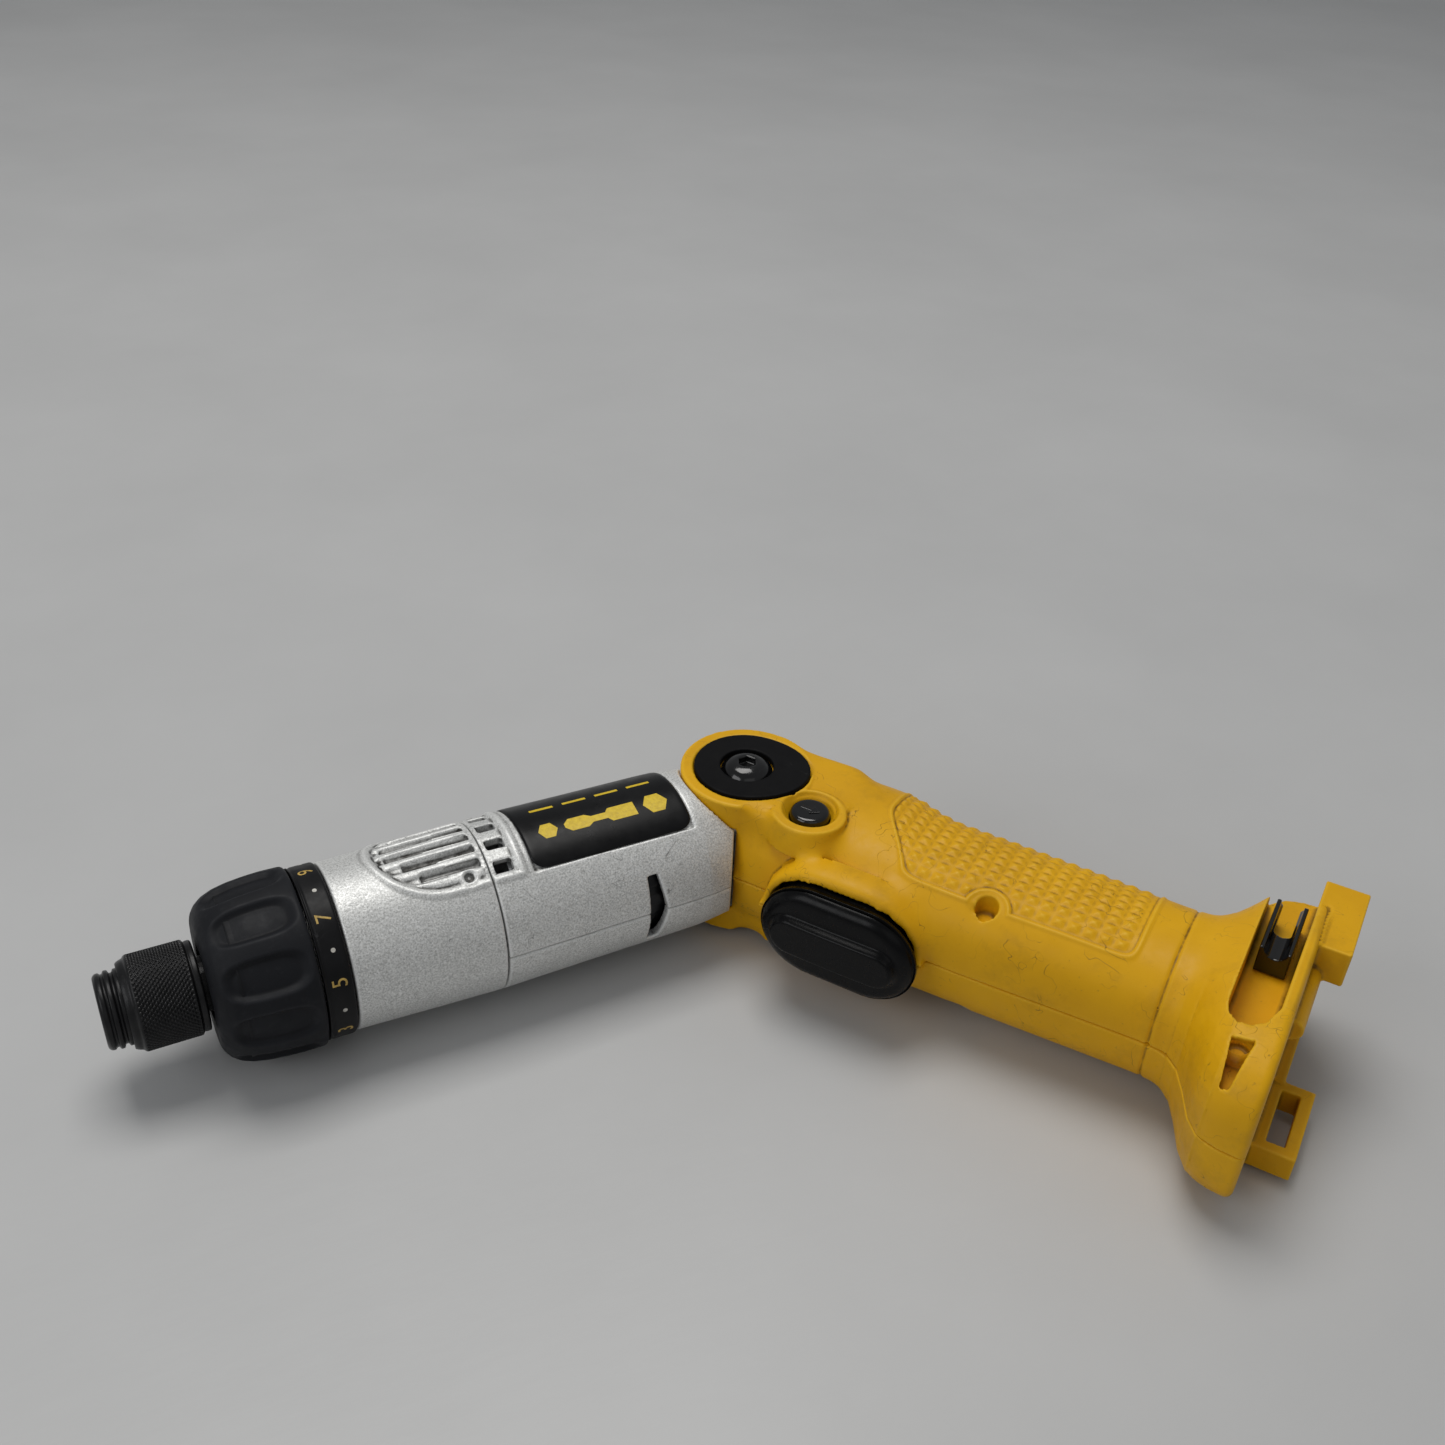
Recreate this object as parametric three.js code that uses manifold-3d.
// Two-position pivoting cordless drill/driver, lying on its side, without its battery.
// Millimetres. The pivot axis is vertical (+Z). The barrel points along -X.
import * as THREE from "three";
import { mergeVertices } from "three/addons/utils/BufferGeometryUtils.js";
import Module from "manifold-3d";

const wasm = await Module();
wasm.setup();
const RAD = Math.PI / 180;

// ---------- driving dimensions ----------
const PIVOT_Z = 23.5; // height of the seam plane over the surface it lies on
const PIVOT_X = 26.532; // the pivot from the middle of the whole tool's box
const PIVOT_Y = 62.515;
const BEND = 56; // degrees between barrel and handle lines
const MITRE = 152; // direction of the mitre plane's normal, degrees
const MITRE_BARREL = 2.9;
const MITRE_HANDLE = 2.5;
const SEAM = 0.15; // half gap between the clamshell halves
// barrel: S runs from the pivot to the chuck
const REAR_R = 21.5;
const JOINT_R = 22.2;
const RING_END_R = 21.2;
const S_REAR_END = 76.2;
const S_GEARCASE = [76.6, 113.8];
const WALL_R = 19.2; // inner radius of the motor housing
const DRUM_R = 17.0;
const DRUM_HALF = 13.5;
const POCKET_R = 17.4;
const POCKET_HALF = 13.8;
const EAR_R = 17.8;
const EAR_CLEAR_R = 18.2;
const PIN_R = 5.6;
// gear train
const MODULE = 0.72;
const Z_SUN = 12;
const Z_PLANET = 15;
const Z_RING = 42;
const CENTRE = (MODULE * (Z_SUN + Z_PLANET)) / 2; // 9.72
// chuck and clutch collar
const COLLAR_R = 22.6;
const SLEEVE_R = 11.7;
const HEX_AF = 6.45;
// handle: s runs from the pivot to the battery end
const FACE_S = 148.4;
const TRIGGER = { s: 41, t: -13, half: 12.8, len: 39, out: -32.8, back: -15 };
const LOCK = { s: 22.6, t: -7.2, r: 5.2 };

// ---------- materials ----------
const mat = (color, roughness, metalness = 0) =>
  new THREE.MeshStandardMaterial({ color, roughness, metalness });
const silver = mat(0xb9bbba, 0.42, 0.55);
const yellow = mat(0xe0a414, 0.55);
const rubber = mat(0x24262b, 0.75);
const blackPlastic = mat(0x17181a, 0.5);
const blackGloss = mat(0x0d0d0e, 0.22);
const blackSteel = mat(0x1a1a1b, 0.42, 0.7);
const steel = mat(0x9a9c9e, 0.35, 0.9);
const brass = mat(0xb08d3e, 0.35, 0.9);
const greyPlastic = mat(0x3a3c40, 0.6);
const label = mat(0x101012, 0.3);
const redLead = mat(0xa02018, 0.5);

// ---------- solids ----------
function solid(geometry) {
  const g = geometry.index ? geometry.toNonIndexed() : geometry.clone();
  const bare = new THREE.BufferGeometry().setAttribute(
    "position",
    g.getAttribute("position"),
  );
  const m = mergeVertices(bare, 1e-4);
  const from = m.index.array;
  const tri = [];
  for (let i = 0; i < from.length; i += 3) {
    const [a, b, c] = [from[i], from[i + 1], from[i + 2]];
    if (a !== b && b !== c && a !== c) tri.push(a, b, c);
  }
  const make = (list) =>
    new wasm.Manifold(
      new wasm.Mesh({
        numProp: 3,
        vertProperties: m.attributes.position.array,
        triVerts: new Uint32Array(list),
      }),
    );
  const made = make(tri);
  if (made.volume() > 0) return made;
  for (let i = 0; i < tri.length; i += 3)
    [tri[i + 1], tri[i + 2]] = [tri[i + 2], tri[i + 1]];
  return make(tri);
}
const union = (...s) => s.reduce((a, b) => a.add(b));
const cut = (s, ...tools) => tools.reduce((a, b) => a.subtract(b), s);

function box(x0, x1, y0, y1, z0, z1) {
  const g = new THREE.BoxGeometry(x1 - x0, y1 - y0, z1 - z0);
  g.translate((x0 + x1) / 2, (y0 + y1) / 2, (z0 + z1) / 2);
  return solid(g);
}
// a turned body about the X axis from [x, radius] points; a ring's profile closes on itself
function turned(points, segments = 40, ring = false, start = 0, sweep = 360) {
  const pts = points.map(([x, r]) => new THREE.Vector2(r, x));
  if (ring) pts.push(pts[0].clone());
  const g = new THREE.LatheGeometry(
    pts,
    segments,
    start * RAD,
    sweep * RAD,
  );
  g.rotateZ(-Math.PI / 2);
  return solid(g);
}
const rod = (x0, x1, r, n = 24) =>
  turned([[x0, 0], [x0, r], [x1, r], [x1, 0]], n);
const tube = (x0, x1, r0, r1, n = 40) =>
  turned([[x0, r0], [x0, r1], [x1, r1], [x1, r0]], n, true);
// a round bar parallel to Z
function post(x, y, r, z0, z1, n = 28, rTop = r) {
  const g = new THREE.CylinderGeometry(rTop, r, z1 - z0, n);
  g.rotateX(Math.PI / 2);
  g.translate(x, y, (z0 + z1) / 2);
  return solid(g);
}
// a round bar parallel to Y
function crossbar(x, z, r, y0, y1, n = 20) {
  const g = new THREE.CylinderGeometry(r, r, y1 - y0, n);
  g.translate(x, (y0 + y1) / 2, z);
  return solid(g);
}
// a prism along Z over an outline of [x, y] points
function prismZ(points, z0, z1) {
  const shape = new THREE.Shape(points.map(([x, y]) => new THREE.Vector2(x, y)));
  const g = new THREE.ExtrudeGeometry(shape, {
    depth: z1 - z0,
    bevelEnabled: false,
  });
  g.translate(0, 0, z0);
  return solid(g);
}
// a prism along Y over an outline of [x, z] points
function prismY(points, y0, y1) {
  const shape = new THREE.Shape(points.map(([x, z]) => new THREE.Vector2(x, z)));
  const g = new THREE.ExtrudeGeometry(shape, {
    depth: y1 - y0,
    bevelEnabled: false,
  });
  g.rotateX(Math.PI / 2);
  g.translate(0, y1, 0);
  return solid(g);
}
// a prism along X over an outline of [y, z] points
function prismX(points, x0, x1, holes = []) {
  const shape = new THREE.Shape(points.map(([y, z]) => new THREE.Vector2(y, z)));
  for (const h of holes)
    shape.holes.push(new THREE.Path(h.map(([y, z]) => new THREE.Vector2(y, z))));
  const g = new THREE.ExtrudeGeometry(shape, {
    depth: x1 - x0,
    bevelEnabled: false,
  });
  g.rotateX(Math.PI / 2);
  g.rotateZ(Math.PI / 2);
  g.translate(x0, 0, 0);
  return solid(g);
}
function ringPoints(r, n, phase = 0) {
  return Array.from({ length: n }, (_, i) => {
    const a = phase + (i * 2 * Math.PI) / n;
    return [r * Math.cos(a), r * Math.sin(a)];
  });
}
function stadium(cx, cy, length, width, n = 8) {
  const r = width / 2;
  const h = length / 2 - r;
  const pts = [];
  for (let i = 0; i <= n; i++) {
    const a = -Math.PI / 2 + (Math.PI * i) / n;
    pts.push([cx + h + r * Math.cos(a), cy + r * Math.sin(a)]);
  }
  for (let i = 0; i <= n; i++) {
    const a = Math.PI / 2 + (Math.PI * i) / n;
    pts.push([cx - h + r * Math.cos(a), cy + r * Math.sin(a)]);
  }
  return pts;
}
// a body through superellipse sections {s, lo, hi, half, n} along X
function loft(sections, segments = 40) {
  const rows = sections.length - 1;
  const g = new THREE.CylinderGeometry(1, 1, 1, segments, rows);
  const p = g.getAttribute("position");
  for (let i = 0; i < p.count; i++) {
    const k = Math.round((0.5 - p.getY(i)) * rows);
    const { s, lo, hi, half, n } = sections[k];
    const c = p.getX(i);
    const d = p.getZ(i);
    const inside = Math.hypot(c, d) < 0.5;
    const e = 2 / n;
    const y = inside
      ? (lo + hi) / 2
      : (lo + hi) / 2 + ((hi - lo) / 2) * Math.sign(c) * Math.abs(c) ** e;
    const z = inside ? 0 : half * Math.sign(d) * Math.abs(d) ** e;
    p.setXYZ(i, s, y, z);
  }
  return solid(g);
}
const shrink = (sections, by) =>
  sections.map(({ s, lo, hi, half, n }) => ({
    s,
    lo: lo + by,
    hi: hi - by,
    half: half - by,
    n,
  }));
// a gear's outline: trapezoid teeth thinned for running clearance
function gearOutline(z, phase, addendum, dedendum, toothShare = 0.44) {
  const rp = (MODULE * z) / 2;
  const pts = [];
  for (let i = 0; i < z; i++) {
    const a = phase + (i * 2 * Math.PI) / z;
    const w = (toothShare * Math.PI) / z;
    pts.push([rp - dedendum, a - w * 1.25]);
    pts.push([rp + addendum, a - w * 0.45]);
    pts.push([rp + addendum, a + w * 0.45]);
    pts.push([rp - dedendum, a + w * 1.25]);
  }
  return pts.map(([r, a]) => [r * Math.cos(a), r * Math.sin(a)]);
}
// a wire wound about the X axis
function coil(x0, x1, r, wire, turns, steps = 12, sides = 6) {
  class Helix extends THREE.Curve {
    getPoint(u, out = new THREE.Vector3()) {
      const a = u * turns * 2 * Math.PI;
      return out.set(
        x0 + wire + (x1 - x0 - 2 * wire) * u,
        r * Math.cos(a),
        r * Math.sin(a),
      );
    }
  }
  const shape = new THREE.Shape(
    ringPoints(wire, sides).map(([x, y]) => new THREE.Vector2(x, y)),
  );
  return solid(
    new THREE.ExtrudeGeometry(shape, {
      steps: Math.round(turns * steps),
      extrudePath: new Helix(),
      bevelEnabled: false,
    }),
  );
}
function turnX(s, degrees) {
  const m = new THREE.Matrix4().makeRotationX(degrees * RAD);
  return s.transform(m.toArray());
}

// ---------- scene graph ----------
const group = new THREE.Group();
const frame = new THREE.Group(); // design frame, origin at the pivot on the seam plane
const barrel = new THREE.Group(); // local x to the chuck, y to the trigger side
barrel.rotation.z = Math.PI;
const handle = new THREE.Group(); // local x to the battery end, y to the back
handle.rotation.z = -BEND * RAD;
group.add(frame);
frame.add(barrel, handle);
function put(parent, name, s, material) {
  const m = s.getMesh();
  const n = m.numProp;
  const v = new Float32Array((m.vertProperties.length / n) * 3);
  for (let i = 0; i < v.length / 3; i++)
    v.set(m.vertProperties.subarray(i * n, i * n + 3), i * 3);
  const g = new THREE.BufferGeometry();
  g.setAttribute("position", new THREE.BufferAttribute(v, 3));
  g.setIndex(new THREE.BufferAttribute(m.triVerts, 1));
  g.computeVertexNormals();
  const mesh = new THREE.Mesh(g, material);
  mesh.name = name;
  parent.add(mesh);
}
// half-space tools
const upper = (gap = SEAM) => box(-400, 400, -200, 200, gap, 200);
const lower = (gap = SEAM) => box(-400, 400, -200, 200, -200, -gap);
// everything on the far side of the mitre plane, in a frame turned by `turn` degrees
function mitre(offset, turn, side) {
  const g = new THREE.BoxGeometry(200, 400, 200);
  g.translate(side * 100, 0, 0);
  g.translate(offset, 0, 0);
  g.rotateZ((MITRE + turn) * RAD);
  return solid(g);
}

// ---------- barrel housing ----------
const outerProfile = [
  [2, 0],
  [2, 19.0],
  [8, 19.7],
  [14, 20.6],
  [20, 21.3],
  [27, REAR_R],
  [50, REAR_R + 0.25],
  [S_REAR_END, JOINT_R],
  [S_REAR_END, 0],
];
let rear = turned(outerProfile, 56);
rear = cut(
  rear,
  post(0, 0, EAR_CLEAR_R, -40, 40, 64),
  mitre(MITRE_BARREL, 180, -1), // near side, along the mitre
  box(-20, 14.5, -40, -6, -40, 40), // far side, square end
  rod(21, 90, WALL_R, 48), // motor cavity
);
const tongue = cut(
  union(
    box(0, 23, -DRUM_R + 1.5, DRUM_R - 1.5, -DRUM_HALF, DRUM_HALF),
  ),
  mitre(MITRE_BARREL, 180, -1),
);
rear = cut(
  union(rear, tongue, post(0, 0, DRUM_R, -DRUM_HALF, DRUM_HALF, 44)),
  post(0, 0, PIN_R + 0.3, -40, 40, 28),
  rod(21, 90, WALL_R, 48),
  // lead passage from the drum into the motor cavity
  box(8, 24, -3, 3, -2.5, 2.5),
);
// vent slots through both side walls
const slotOutline = [
  [37.8, -10.5],
  [37.8, 10.5],
  [34.9, 10.5],
  [32.8, 0],
  [34.9, -10.5],
];
rear = cut(rear, prismY(slotOutline, 15, 30), prismY(slotOutline, -30, -15));
// louvres behind the housing joint, on the upper side
const VENT_MID = -9; // the vent field's centre, degrees from the top towards the trigger side
const sectorBox = (angle, x0, x1, half, r0, r1) =>
  turnX(box(x0, x1, -half, half, r0, r1), -angle);
const louvres = [-36, -18, 0, 18, 36].map((a) =>
  sectorBox(a + VENT_MID, 70.2, 75.2, 1.7, 18, 30),
);
rear = cut(rear, ...louvres);
// the name plate lies in a shallow recess
const PLATE = { x0: 21.5, x1: 66, from: -62, to: 37 };
const radiusAt = (x) =>
  x < 27
    ? 21.3 + ((x - 20) * 0.2) / 7
    : x < 50
      ? REAR_R + ((x - 27) * 0.25) / 23
      : REAR_R + 0.25 + ((x - 50) * 0.45) / 26.2;
function plateBand(x0, x1, dLow, dHigh, from, to) {
  const xs = [x0, 27, 50, x1];
  const profile = [
    ...xs.map((x) => [x, radiusAt(x) + dHigh]),
    ...xs.reverse().map((x) => [x, radiusAt(x) + dLow]),
  ];
  // a sector: the full ring kept between two planes through the axis
  const ring = turned(profile, 56, true);
  const fan = [[0, 0]];
  for (let i = 0; i <= 12; i++) {
    const a = (from + ((to - from) * i) / 12) * RAD;
    fan.push([40 * Math.sin(a), 40 * Math.cos(a)]);
  }
  return ring.intersect(prismX(fan, x0 - 5, x1 + 5));
}
rear = cut(rear, plateBand(PLATE.x0, PLATE.x1, -0.55, 3, PLATE.from, PLATE.to));
put(barrel, "motor_housing_upper", rear.intersect(upper()), silver);
put(barrel, "motor_housing_lower", rear.intersect(lower()), silver);
put(
  barrel,
  "name_plate",
  plateBand(
    PLATE.x0 + 0.35,
    PLATE.x1 - 0.35,
    -0.25,
    0.2,
    PLATE.from + 0.9,
    PLATE.to - 0.9,
  ),
  label,
);

// gear case: nose tube, flange for the clutch pins, shell
let gearcase = turned(
  [
    [S_GEARCASE[0], 19.0],
    [S_GEARCASE[0], JOINT_R],
    [95, 21.75],
    [S_GEARCASE[1], RING_END_R],
    [S_GEARCASE[1], 12.6],
    [140.6, 12.6],
    [140.6, 10.0],
    [99, 10.0],
    [99, 19.0],
  ],
  56,
  true,
);
const ribs = [-31, -19, -7, 5, 17, 29].map((a, i) =>
  sectorBox(a + VENT_MID, 77.6, 101 - Math.abs(i - 2.5) * 3.2, 1.3, 21.0, 30),
);
gearcase = cut(gearcase, ...ribs, post(80.6, 16.4, 1.4, 10, 30, 16));
// three holes for the clutch pins
const pinAt = (k) => [
  15.4 * Math.cos((90 + 120 * k) * RAD),
  15.4 * Math.sin((90 + 120 * k) * RAD),
];
for (let k = 0; k < 3; k++) {
  const g = rod(95, 120, 1.6, 16);
  const [y, z] = pinAt(k);
  gearcase = gearcase.subtract(g.translate([0, y, z]));
}
put(barrel, "gear_case", gearcase, silver);

// ---------- motor ----------
put(
  barrel,
  "motor_can",
  turned(
    [
      [28.2, 16.6],
      [28.2, 18.2],
      [68, 18.2],
      [68, 3.2],
      [66.4, 3.2],
      [66.4, 16.6],
    ],
    40,
    true,
  ),
  steel,
);
put(barrel, "motor_end_bell", tube(23.8, 27.9, 2.2, 18.2, 40), greyPlastic);
function arcSegment(x0, x1, r0, r1, from, to) {
  const fan = [];
  for (let i = 0; i <= 10; i++) {
    const a = (from + ((to - from) * i) / 10) * RAD;
    fan.push([r1 * Math.cos(a), r1 * Math.sin(a)]);
  }
  for (let i = 10; i >= 0; i--) {
    const a = (from + ((to - from) * i) / 10) * RAD;
    fan.push([r0 * Math.cos(a), r0 * Math.sin(a)]);
  }
  return prismX(fan, x0, x1);
}
put(barrel, "motor_magnet_a", arcSegment(35, 60, 13.2, 16.2, 25, 155), greyPlastic);
put(barrel, "motor_magnet_b", arcSegment(35, 60, 13.2, 16.2, 205, 335), greyPlastic);
put(barrel, "motor_brush_a", box(29.0, 33.0, 6.0, 12.5, -2, 2), greyPlastic);
put(barrel, "motor_brush_b", box(29.0, 33.0, -12.5, -6.0, -2, 2), greyPlastic);
const sunTeeth = (phase) => gearOutline(Z_SUN, phase, 0.6, 0.85);
const core = prismX(
  [0, 1, 2, 3, 4].flatMap((i) => {
    const a = (i * 72 + 18) * RAD;
    return [
      [5.5, a - 33 * RAD],
      [12.6, a - 30 * RAD],
      [12.9, a],
      [12.6, a + 30 * RAD],
      [5.5, a + 33 * RAD],
    ].map(([r, b]) => [r * Math.cos(b), r * Math.sin(b)]);
  }),
  36,
  59,
);
put(
  barrel,
  "motor_rotor",
  union(
    core,
    rod(28.6, 34.0, 5.6, 20),
    rod(24.2, 77.5, 1.6, 16),
    prismX(sunTeeth(0), 77, 84.0),
  ),
  steel,
);
put(barrel, "motor_plate", tube(69.0, 71.0, 5.0, 18.9, 40), steel);

// ---------- planetary gears ----------
// each planet sits on the centre circle; phases put teeth in the gaps of sun and ring
function planet(x0, x1, k, sunPhase) {
  const a = 120 * k * RAD;
  const y = CENTRE * Math.cos(a);
  const z = CENTRE * Math.sin(a);
  // at the contact with the sun, a planet gap faces the sun's tooth direction
  const sunTooth = (a - sunPhase) * (Z_SUN / Z_PLANET);
  const phase = a + Math.PI - sunTooth + Math.PI / Z_PLANET;
  const outline = gearOutline(Z_PLANET, phase, 0.6, 0.85);
  return prismX(outline, x0, x1, [ringPoints(1.85, 14)]).translate([0, y, z]);
}
for (let k = 0; k < 3; k++)
  put(barrel, "planet_first_" + "abc"[k], planet(78.0, 83.8, k, 0), steel);
function carrierPins(x0, x1) {
  return union(
    ...[0, 1, 2].map((k) => {
      const a = 120 * k * RAD;
      return rod(x0, x1, 1.55, 14).translate([
        0,
        CENTRE * Math.cos(a),
        CENTRE * Math.sin(a),
      ]);
    }),
  );
}
put(
  barrel,
  "carrier_first",
  union(
    rod(84.4, 86.2, 12.4, 30),
    carrierPins(78.4, 85),
    prismX(sunTeeth(0), 86, 93.4),
  ),
  steel,
);
for (let k = 0; k < 3; k++)
  put(barrel, "planet_second_" + "abc"[k], planet(86.8, 93.0, k, 0), steel);
// ring gear: teeth inwards, with gaps where the planets' outer teeth are
function ringGear() {
  const rp = (MODULE * Z_RING) / 2;
  const inner = [];
  const sunTooth = (0 - 0) * (Z_SUN / Z_PLANET);
  const phasePlanet = Math.PI - sunTooth + Math.PI / Z_PLANET;
  // planet tooth nearest the outward direction (angle 0)
  const step = (2 * Math.PI) / Z_PLANET;
  let off = phasePlanet % step;
  if (off > step / 2) off -= step;
  // the ring's gap centre goes where that tooth points, carried to the ring's pitch circle
  const gap = (off * Z_PLANET) / Z_RING;
  for (let i = 0; i < Z_RING; i++) {
    const a = gap + ((i + 0.5) * 2 * Math.PI) / Z_RING;
    const w = (0.44 * Math.PI) / Z_RING;
    inner.push([rp + 0.85, a - w * 1.25]);
    inner.push([rp - 0.6, a - w * 0.45]);
    inner.push([rp - 0.6, a + w * 0.45]);
    inner.push([rp + 0.85, a + w * 1.25]);
  }
  return prismX(
    ringPoints(18.6, 48),
    77.2,
    96.6,
    [inner.map(([r, a]) => [r * Math.cos(a), r * Math.sin(a)])],
  );
}
put(barrel, "ring_gear", ringGear(), steel);

// ---------- spindle ----------
let spindle = union(
  rod(93.8, 95.8, 12.4, 30),
  carrierPins(87.2, 94.5),
  rod(95, 111, 6.0, 28),
  rod(110, 157.9, 6.8, 28),
  rod(157, 165.0, 6.8, 28),
);
const hex = ringPoints(HEX_AF / 2 / Math.cos(30 * RAD), 6, 30 * RAD);
spindle = cut(spindle, prismX(hex, 139, 170), crossbar(152.4, 0, 1.9, 0, 9, 16));
put(barrel, "spindle", spindle, steel);
put(
  barrel,
  "detent_ball",
  (() => {
    const g = new THREE.SphereGeometry(1.55, 14, 10);
    g.translate(152.4, 5.2, 0);
    return solid(g);
  })(),
  steel,
);
put(barrel, "front_bearing", tube(101, 107, 6.3, 9.7, 32), brass);

// ---------- clutch ----------
for (let k = 0; k < 3; k++) {
  const [y, z] = pinAt(k);
  put(
    barrel,
    "clutch_pin_" + "abc"[k],
    rod(97.2, 115.6, 1.3, 12).translate([0, y, z]),
    steel,
  );
}
put(barrel, "clutch_washer", tube(115.9, 117.1, 13.0, 18.6, 32), steel);
put(barrel, "clutch_spring", coil(117.4, 131.0, 15.6, 0.9, 3.5, 12, 5), steel);
put(barrel, "clutch_nut", tube(133.6, 137.6, 13.0, 19.0, 32), greyPlastic);
// numbered ring and rubber collar
put(
  barrel,
  "clutch_scale_ring",
  turned(
    [
      [114.2, 19.8],
      [114.2, 21.3],
      [114.9, 21.7],
      [120.3, 21.7],
      [120.9, 21.2],
      [120.9, 19.8],
    ],
    44,
    true,
  ),
  blackPlastic,
);
let collar = turned(
  [
    [121.3, 19.8],
    [121.3, 22.1],
    [122.0, COLLAR_R],
    [136.5, 22.4],
    [141.6, 21.0],
    [144.2, 18.6],
    [145.0, 16.8],
    [145.0, 9.0],
    [141.2, 9.0],
    [141.2, 19.8],
  ],
  44,
  true,
);
const FLUTES = 10;
for (let k = 0; k < FLUTES; k++) {
  const g = new THREE.CylinderGeometry(9, 9, 19, 16);
  g.rotateZ(Math.PI / 2);
  g.translate(133.2, 0, COLLAR_R + 9 - 1.15);
  collar = collar.subtract(turnX(solid(g), k * (360 / FLUTES) + 18));
}
put(barrel, "clutch_collar", collar, rubber);

// ---------- chuck ----------
put(
  barrel,
  "chuck_sleeve",
  turned(
    [
      [146.0, 7.2],
      [146.0, 11.1],
      [147.4, 11.1],
      [147.8, SLEEVE_R],
      [161.1, SLEEVE_R],
      [161.6, 11.0],
      [163.4, 10.4],
      [163.4, 9.7],
      [149.0, 9.7],
      [149.0, 7.2],
    ],
    36,
    true,
  ),
  blackSteel,
);
put(barrel, "chuck_spring", coil(149.3, 157.6, 8.3, 0.45, 4, 10, 5), steel);
put(
  barrel,
  "chuck_nose_ring",
  turned(
    [
      [158.2, 7.1],
      [158.2, 9.3],
      [164.2, 9.3],
      [164.5, 8.6],
      [165.1, 8.6],
      [165.4, 9.4],
      [166.4, 9.4],
      [166.7, 8.7],
      [167.1, 8.7],
      [167.4, 9.2],
      [168.4, 9.0],
      [168.9, 8.4],
      [168.9, 4.2],
      [165.4, 4.2],
      [165.4, 7.1],
    ],
    24,
    true,
  ),
  blackSteel,
);

// ---------- handle body ----------
const N_GRIP = 2.5;
const sections = [
  { s: -24, lo: -19.5, hi: 22.0, half: 20.2, n: N_GRIP },
  { s: 0, lo: -19.5, hi: 22.5, half: 20.2, n: N_GRIP },
  { s: 18, lo: -19.6, hi: 24.2, half: 20.3, n: N_GRIP },
  { s: 34, lo: -20.2, hi: 26.0, half: 20.4, n: N_GRIP },
  { s: 43, lo: -20.8, hi: 25.6, half: 20.4, n: N_GRIP },
  { s: 49, lo: -21.6, hi: 22.4, half: 20.2, n: N_GRIP },
  { s: 56, lo: -22.2, hi: 20.8, half: 20.0, n: N_GRIP },
  { s: 72, lo: -22.3, hi: 20.9, half: 20.0, n: N_GRIP },
  { s: 95, lo: -21.4, hi: 20.4, half: 20.0, n: N_GRIP },
  { s: 118, lo: -20.7, hi: 19.7, half: 19.8, n: N_GRIP },
  { s: 124.5, lo: -21.2, hi: 20.2, half: 20.0, n: 2.5 },
  { s: 128, lo: -24.6, hi: 23.2, half: 20.9, n: 2.6 },
  { s: 131, lo: -30.5, hi: 27.8, half: 21.9, n: 2.8 },
  { s: 134, lo: -37.6, hi: 33.2, half: 22.9, n: 3.0 },
  { s: 137.5, lo: -42.2, hi: 37.2, half: 23.7, n: 3.3 },
  { s: 142, lo: -43.6, hi: 38.6, half: 23.8, n: 3.5 },
  { s: FACE_S, lo: -44.0, hi: 38.9, half: 23.8, n: 3.6 },
];
let body = loft(sections, 36);
const cavitySections = shrink(
  sections.filter((q) => q.s >= 18 && q.s <= 124.5),
  2.6,
);
cavitySections.push({ s: 136, lo: -22, hi: 20, half: 9.4, n: 4 });
cavitySections.push({ s: FACE_S + 5, lo: -22, hi: 20, half: 9.4, n: 4 });
const cavity = loft(cavitySections, 20);
// clearance for the drum, the barrel and the mitre
const halfPocket = (z0, z1) => post(0, 0, POCKET_R, z0, z1, 44);
const outsideEars = cut(
  box(-60, 30, -40, 40, -40, 40),
  post(0, 0, EAR_R, POCKET_HALF, 50, 44),
  post(0, 0, EAR_R, -50, -POCKET_HALF, 44),
);
const mitreCut = mitre(MITRE_HANDLE, BEND, 1).intersect(outsideEars);
const backCut = box(-60, -8, -40, 40, -40, 40).intersect(outsideEars);
const ears = union(post(0, 0, EAR_R, 10, 21.4, 44), post(0, 0, EAR_R, -21.4, -10, 44));
// fairing between ear and neck, so the ear plate runs tangent into the body
const fairing = (z0, z1) =>
  prismZ(
    [
      [0, -EAR_R + 1.2],
      [20, -15.5],
      [30, -8],
      [34, 12],
      [26, 19],
      [0, EAR_R],
    ],
    z0,
    z1,
  );
body = union(body, ears, fairing(15, 21.0), fairing(-21.0, -15));
// raised boss round the lock button, and the lip round the trigger
body = union(body, post(LOCK.s + 0.4, LOCK.t - 1.4, 11.5, 14, 21.4, 24, 9.6));
const lip = prismY(stadium(TRIGGER.s, 0, 46, 33, 8), -25.2, -17);
body = union(body, lip);
body = cut(body, mitreCut, backCut);
body = cut(body, halfPocket(-POCKET_HALF, POCKET_HALF));
body = cut(body, cavity.subtract(post(0, 0, POCKET_R + 2.0, -40, 40, 56)));
// trigger window
body = cut(
  body,
  prismY(stadium(TRIGGER.s, 0, TRIGGER.len + 2.2, 2 * TRIGGER.half + 1.2, 8), -40, -12),
);
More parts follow.
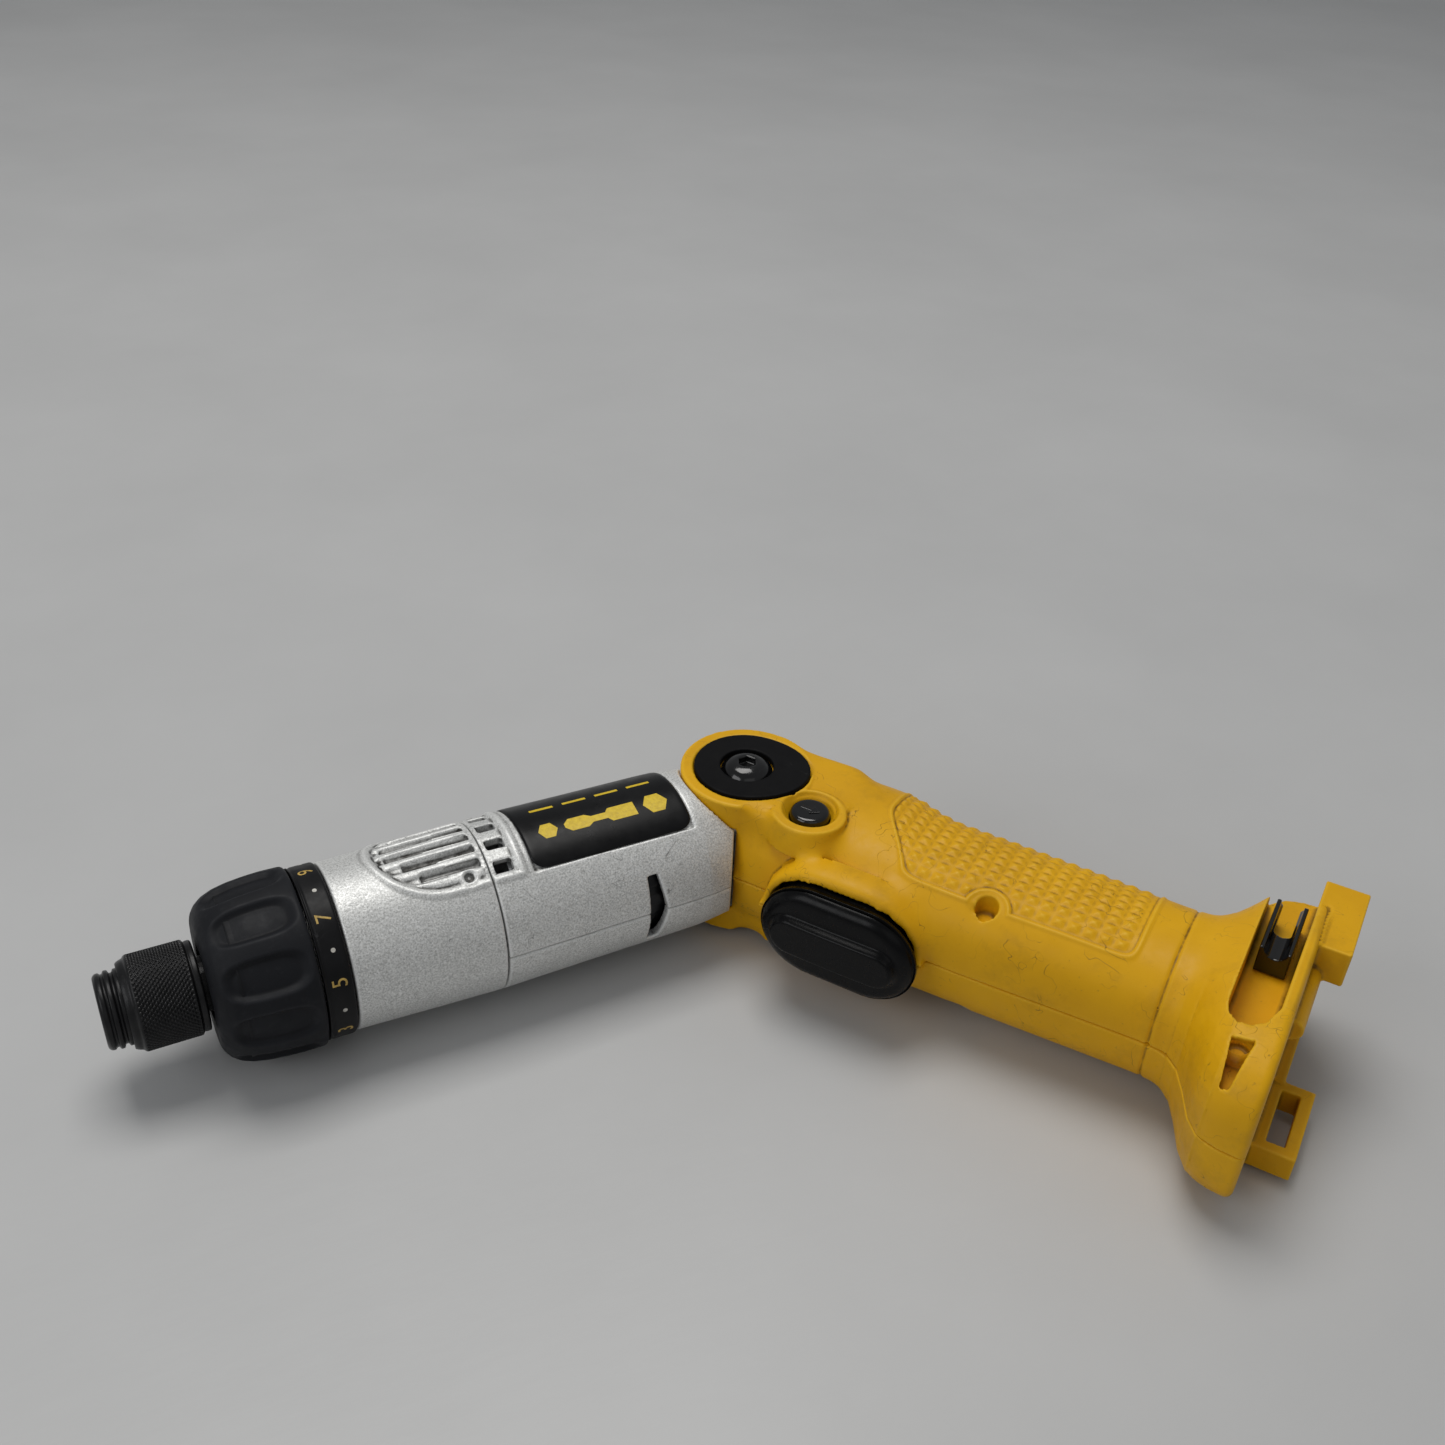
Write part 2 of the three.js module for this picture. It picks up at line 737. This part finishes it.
// pivot bores and cap recesses
const capOutline = (grow) => {
  const pts = [];
  for (let i = 0; i < 36; i++) {
    const a = (i * 10 * Math.PI) / 180;
    const c = Math.cos(a);
    const r = 14.2 + grow;
    // round about the pivot, drawn out towards the grip's back
    const out = Math.max(0, Math.cos(a - 20 * RAD)) ** 3 * 3.0;
    pts.push([(r + out) * c, (r + out) * Math.sin(a)]);
  }
  return pts;
};
body = cut(
  body,
  post(0, 0, PIN_R + 0.3, -40, 40, 28),
  prismZ(capOutline(0.3), 19.9, 40),
  prismZ(capOutline(0.3), -40, -19.9),
);
// lock button bore and its dished mouth
body = cut(
  body,
  post(LOCK.s, LOCK.t, LOCK.r + 0.3, -40, 40, 24),
  post(LOCK.s, LOCK.t, 5.6, 18.6, 21.6, 24, 7.9),
  post(LOCK.s, LOCK.t, 7.9, -21.6, -18.6, 24, 5.6),
);
// groove round the handle before the flare
const grooveRing = cut(
  loft(
    [
      { s: 119.6, lo: -24, hi: 23, half: 23, n: N_GRIP },
      { s: 120.4, lo: -24, hi: 23, half: 23, n: N_GRIP },
    ],
    16,
  ),
  loft(
    [
      { s: 119, lo: -20.2, hi: 19.3, half: 19.4, n: N_GRIP },
      { s: 121, lo: -20.2, hi: 19.3, half: 19.4, n: N_GRIP },
    ],
    36,
  ),
);
body = cut(body, grooveRing);
// bit bay in the upper side, open at the back end, with blind holes for the bit tips
body = cut(
  body,
  prismZ(
    [
      [134.2, -20],
      [135.2, -23.5],
      [137.5, -26],
      [140.5, -26],
      [143.2, -24],
      [145.2, -18],
      [145.6, 45],
      [134.2, 45],
    ],
    11.0,
    40,
  ),
  crossbar(139.4, 16.2, 3.4, -32, -20, 18),
  prismZ(
    [
      [137.4, -29.5],
      [142.6, -29.5],
      [140.6, -40],
      [138.6, -40],
    ],
    12,
    40,
  ),
);
// battery rails on the end face
const topRail = union(
  box(FACE_S - 3, 156, 9, 34.5, 17.2, 22.4),
  box(FACE_S - 1, 156, 9, 12, 12.4, 18),
);
const lowTab = cut(
  box(FACE_S - 3, 159, -23, 1, -22.0, -15.0),
  box(151.5, 156, -20, -2, -30, 0),
);
const lowRim = box(FACE_S - 2, 151.6, 0, 30, -19, -14.5);
const bossBar = turned(
  [[-12, 0], [-12, 3], [16, 3], [16, 0]],
  16,
).rotate([0, 0, 90]).translate([FACE_S, 0, 12.8]);
body = union(body, topRail, lowTab, lowRim, bossBar);
// screw bosses, in the lower half, and their blind posts in the upper half
const SCREWS = [
  [74.7, -14.2],
  [113, 9.5],
  [70, 13.5],
];
for (const [s, t] of SCREWS)
  body = body.add(post(s, t, 4.2, -17, 17, 14).intersect(loft(shrink(sections, 1), 20)));
// trigger pin bosses
body = body.add(
  post(TRIGGER.s, TRIGGER.t, 3.0, 13.4, 16.4, 14),
).add(post(TRIGGER.s, TRIGGER.t, 3.0, -16.4, -13.4, 14));
body = cut(body, post(TRIGGER.s, TRIGGER.t, 1.8, -15.9, 15.9, 14));
for (const [s, t] of SCREWS)
  body = cut(body, post(s, t, 1.6, -30, 11.5, 14), post(s, t, 3.4, -30, -12.2, 18));
body = cut(body, post(SCREWS[0][0], SCREWS[0][1], 2.6, 13, 30, 18, 3.75));
// flats the tool lies on
body = body.intersect(box(-60, 200, -80, 80, -PIVOT_Z, PIVOT_Z));
// keep nothing of the handle inside the drum's sweep
body = cut(body, halfPocket(-POCKET_HALF, POCKET_HALF));
put(handle, "handle_shell_upper", body.intersect(upper()), yellow);
put(handle, "handle_shell_lower", body.intersect(lower()), yellow);

// pivot caps, bolts and pin
const cap = (z0, z1) =>
  cut(prismZ(capOutline(0), z0, z1), post(0, 0, 7.2, -40, 40, 28));
put(handle, "pivot_cap_upper", cap(20.2, 22.0), blackPlastic);
put(handle, "pivot_cap_lower", cap(-22.0, -20.2), blackPlastic);
put(
  handle,
  "pivot_pin",
  cut(post(0, 0, PIN_R, -19.4, 19.4, 28), post(0, 0, 3.6, -30, 30, 20)),
  steel,
);
function boltSolid(side) {
  const g = new THREE.LatheGeometry(
    [
      [0, 3],
      [3.3, 3],
      [3.3, 19.9],
      [6.4, 19.9],
      [6.4, 21.2],
      [5.7, 22.2],
      [4.2, 22.9],
      [2.4, 23.2],
      [1.9, 23.2],
      [1.9, 21.6],
      [0, 21.6],
    ].map(([r, y]) => new THREE.Vector2(r, y)),
    18,
  );
  g.rotateX((side * Math.PI) / 2);
  return solid(g);
}
put(handle, "pivot_bolt_upper", boltSolid(1), blackGloss);
put(handle, "pivot_bolt_lower", boltSolid(-1), blackGloss);

// ---------- trigger, switch, lock ----------
let trigger = union(
  prismY(stadium(TRIGGER.s, 0, TRIGGER.len, 2 * TRIGGER.half, 8), -31.4, TRIGGER.back),
  prismY(
    stadium(TRIGGER.s, 0, TRIGGER.len - 2.4, 2 * TRIGGER.half - 2.4, 8),
    -32.4,
    -31,
  ),
  prismY(stadium(TRIGGER.s, 0, TRIGGER.len - 8, 11, 8), -33.2, -32),
  post(TRIGGER.s, TRIGGER.t, 3.6, -11, 11, 18),
);
trigger = cut(trigger, post(TRIGGER.s, TRIGGER.t, 1.8, -20, 20, 16));
put(handle, "trigger", trigger, blackPlastic);
put(handle, "trigger_pin", post(TRIGGER.s, TRIGGER.t, 1.5, -15.6, 15.6, 14), steel);
put(
  handle,
  "switch_module",
  cut(
    box(30, 57, -8.6, 8.6, -9.5, 9.5),
    crossbar(33.5, 0, 2.3, -12, 0, 16),
    crossbar(51.0, 0, 2.3, -12, 0, 16),
  ),
  greyPlastic,
);
put(handle, "switch_plunger_forward", crossbar(33.5, 0, 2.0, -14.6, -3.0, 14), brass);
put(handle, "switch_plunger_reverse", crossbar(51.0, 0, 2.0, -14.6, -3.0, 14), brass);
put(
  handle,
  "lock_button",
  union(
    post(LOCK.s, LOCK.t, LOCK.r, -17.2, 20.4, 24),
    post(LOCK.s, LOCK.t, LOCK.r, 20.3, 21.0, 24, LOCK.r - 0.6),
  ),
  blackGloss,
);

// ---------- battery end ----------
put(
  handle,
  "terminal_block",
  cut(
    box(137, 147, -19, 17, -7.6, 7.6),
    box(139, 150, -15.5, 13.5, -4.8, 4.8),
  ),
  greyPlastic,
);
put(handle, "terminal_positive", box(139.4, 146.4, 6.0, 12.4, -0.6, 0.6), brass);
put(handle, "terminal_negative", box(139.4, 146.4, -14.2, -7.8, -0.6, 0.6), brass);
put(
  handle,
  "bit_clip",
  cut(
    box(135.4, 144.4, 3.5, 27.5, 11.3, 20.4),
    box(137.4, 142.4, 14.5, 40, 10, 40),
    // round seat for the bit shanks
    crossbar(139.9, 20.6, 3.4, 0, 40, 16),
  ),
  blackGloss,
);
SCREWS.forEach(([s, t], i) => {
  put(
    handle,
    "handle_screw_" + "abc"[i],
    union(post(s, t, 3.0, -15.0, -12.5, 18), post(s, t, 1.3, -13, 10, 12)),
    steel,
  );
});
const lead = (t, z) =>
  rod(58, 136, 1.2, 10).translate([0, t, z]);
put(handle, "lead_positive", lead(3.5, 3), redLead);
put(handle, "lead_negative", lead(-3.5, 3), blackPlastic);

// ---------- placement ----------
// the row's origin is the middle of the box's base
frame.position.set(PIVOT_X, PIVOT_Y, PIVOT_Z);

export default group;
